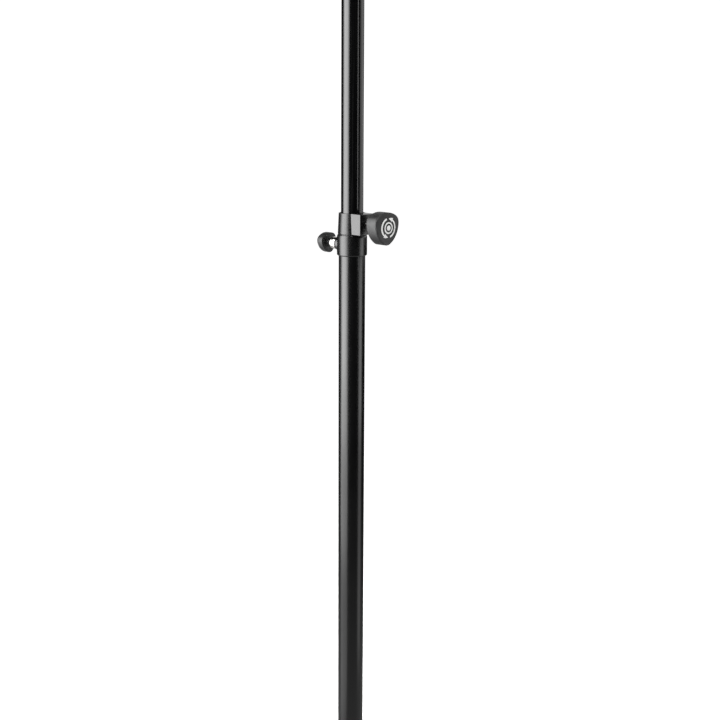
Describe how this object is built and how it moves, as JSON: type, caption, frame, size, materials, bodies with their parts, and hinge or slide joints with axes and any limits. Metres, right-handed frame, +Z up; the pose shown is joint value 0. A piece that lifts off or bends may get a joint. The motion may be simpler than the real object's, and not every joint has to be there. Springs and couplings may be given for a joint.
{
  "type": "telescopic speaker pole",
  "caption": "Telescopic loudspeaker pole: a mast slides and turns in an outer tube, held by a clamp knob and a spring-loaded index bolt, on a threaded base stud.",
  "frame": {"origin": "centre of the seat at the pole's lower end, on the pole's axis, where the base stud leaves it", "axes": "+Z up along the pole; +X along the clamp screw towards its knob; the index bolt points along -X"},
  "size_m": [0.1424, 0.0506, 1.424],
  "materials": {
    "tube_black": "satin black powder coat",
    "mast_black": "gloss black powder coat",
    "casting_black": "satin black coated die casting",
    "plastic_black": "fine-grained black moulded plastic",
    "rubber": "matt black",
    "rivet_black": "black",
    "blackened_steel": "black oxide",
    "bare_steel": "turned",
    "zinc": "zinc plated",
    "nickel": "nickel plated",
    "spring_steel": "drawn wire"
  },
  "bodies": {
    "outer": {"outer_tube": "tube_black", "base_plug": "bare_steel", "base_stud": "bare_steel", "base_washer": "rubber", "base_rivet_1": "rivet_black", "base_rivet_2": "rivet_black", "clamp_head": "casting_black", "head_rivet_1": "rivet_black", "head_rivet_2": "rivet_black", "liner_bush": "plastic_black", "thread_insert": "blackened_steel", "collar": "casting_black", "collar_rivet_1": "rivet_black", "collar_rivet_2": "rivet_black", "index_body": "nickel", "index_lock_washer": "zinc", "index_spring": "spring_steel"},
    "guide": {"guide_ring": "plastic_black"},
    "mast": {"inner_tube": "mast_black", "mast_cap": "plastic_black", "mast_foot": "plastic_black", "mast_retaining_ring": "spring_steel", "mast_stop_ring": "spring_steel"},
    "clamp_shoe": {"clamp_shoe": "bare_steel", "clamp_pad": "rubber"},
    "clamp_screw": {"clamp_spindle": "blackened_steel", "clamp_knob": "plastic_black", "clamp_knob_cover": "plastic_black", "clamp_nut": "zinc", "clamp_washer": "zinc"},
    "index_slider": {"index_thrust_washer": "zinc"},
    "index_pin": {"index_pin": "bare_steel", "index_knob": "plastic_black", "index_roll_pin": "spring_steel"}
  },
  "joints": [
    {"name": "mast_slide", "type": "slide", "parent": "outer", "child": "guide", "axis": [0, 0, 1], "range_m": [-0.397, 0.22]},
    {"name": "mast_swivel", "type": "hinge", "parent": "guide", "child": "mast", "pos_m": [0, 0, 0.455], "axis": [0, 0, 1], "continuous": true},
    {"name": "clamp_advance", "type": "slide", "parent": "outer", "child": "clamp_shoe", "axis": [1, 0, 0], "range_m": [0, 0.00225]},
    {"name": "clamp_turn", "type": "hinge", "parent": "clamp_shoe", "child": "clamp_screw", "pos_m": [0.055, 0, 0.9466], "axis": [1, 0, 0], "range_deg": [0, 540]},
    {"name": "index_pull", "type": "slide", "parent": "outer", "child": "index_slider", "axis": [-1, 0, 0], "range_m": [0, 0.004], "stiffness_N_per_m": 1500, "springref_m": -0.008, "deforming": ["index_spring"]},
    {"name": "index_turn", "type": "hinge", "parent": "index_slider", "child": "index_pin", "pos_m": [-0.0513, 0, 0.9134], "axis": [1, 0, 0], "continuous": true}
  ],
  "couplings": [
    {"joint": "clamp_turn", "follows": "clamp_advance", "rad_per_m": 4188.8}
  ]
}
